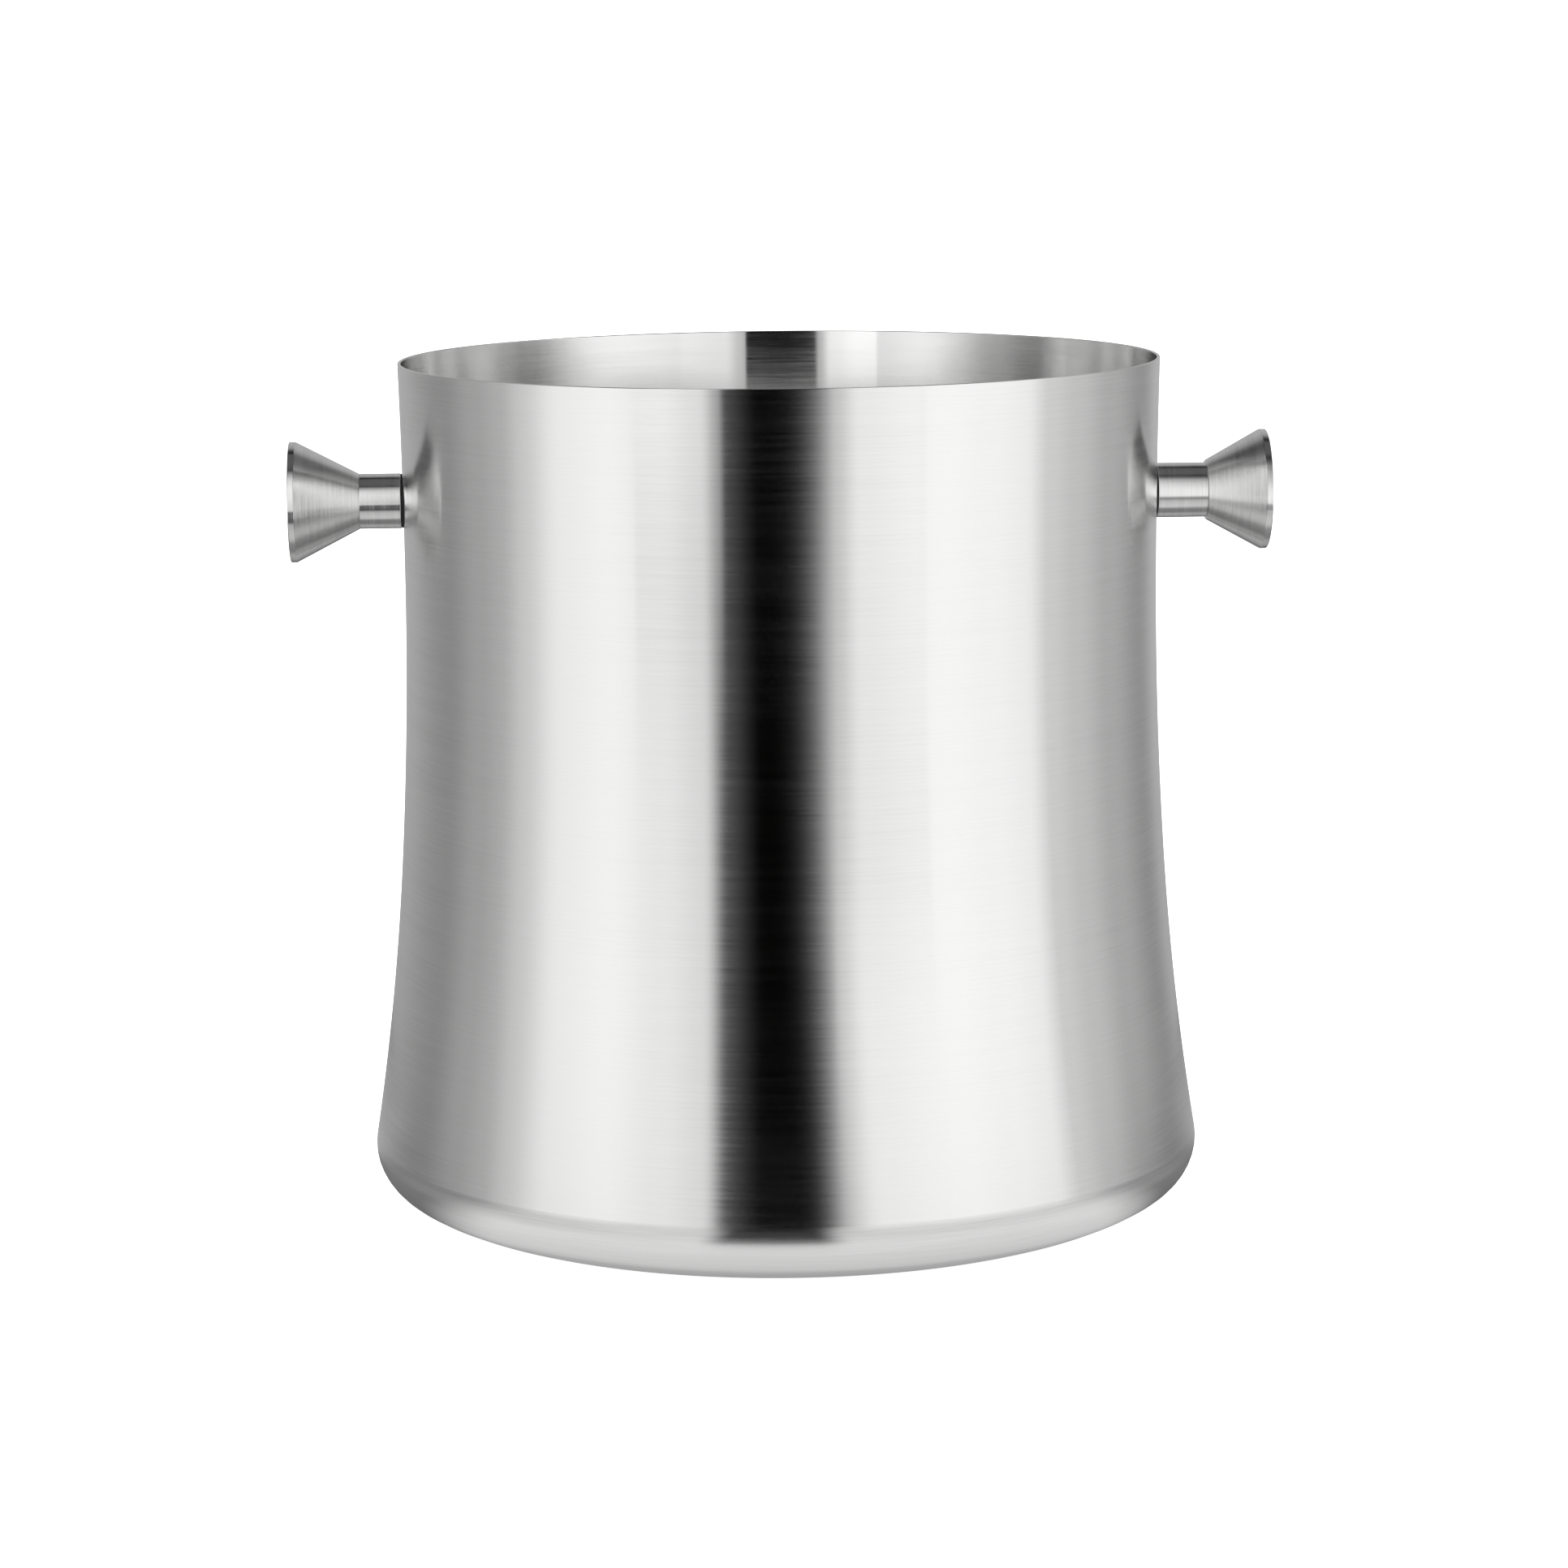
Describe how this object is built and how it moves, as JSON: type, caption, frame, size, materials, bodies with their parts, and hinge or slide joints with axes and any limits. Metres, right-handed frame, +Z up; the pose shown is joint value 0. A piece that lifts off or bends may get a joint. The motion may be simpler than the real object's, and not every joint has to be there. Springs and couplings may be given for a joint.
{
  "type": "champagne bucket",
  "caption": "Waisted open bucket of brushed steel sheet for cooling a bottle, lifted by two turned cone knobs screwed to its sides.",
  "frame": {"origin": "centre of the base, in the plane of the flat ring that it stands on", "axes": "+Z up to the open mouth, X along the common axis of the two knobs, -X the knob whose cone is level with its neck"},
  "size_m": [0.2578, 0.2202, 0.2244],
  "materials": {
    "brushed_sheet": "brushed round the bucket",
    "turned_steel": "turned and satin polished",
    "screw_steel": "bright stainless",
    "seal_rubber": "matt black"
  },
  "bodies": {
    "root": {"bucket_shell": "brushed_sheet", "left_cone_head": "turned_steel", "left_neck_sleeve": "turned_steel", "left_outer_seal": "seal_rubber", "left_inner_seal": "seal_rubber", "left_washer": "screw_steel", "left_screw": "screw_steel", "right_cone_head": "turned_steel", "right_neck_sleeve": "turned_steel", "right_outer_seal": "seal_rubber", "right_inner_seal": "seal_rubber", "right_washer": "screw_steel", "right_screw": "screw_steel"}
  },
  "joints": []
}
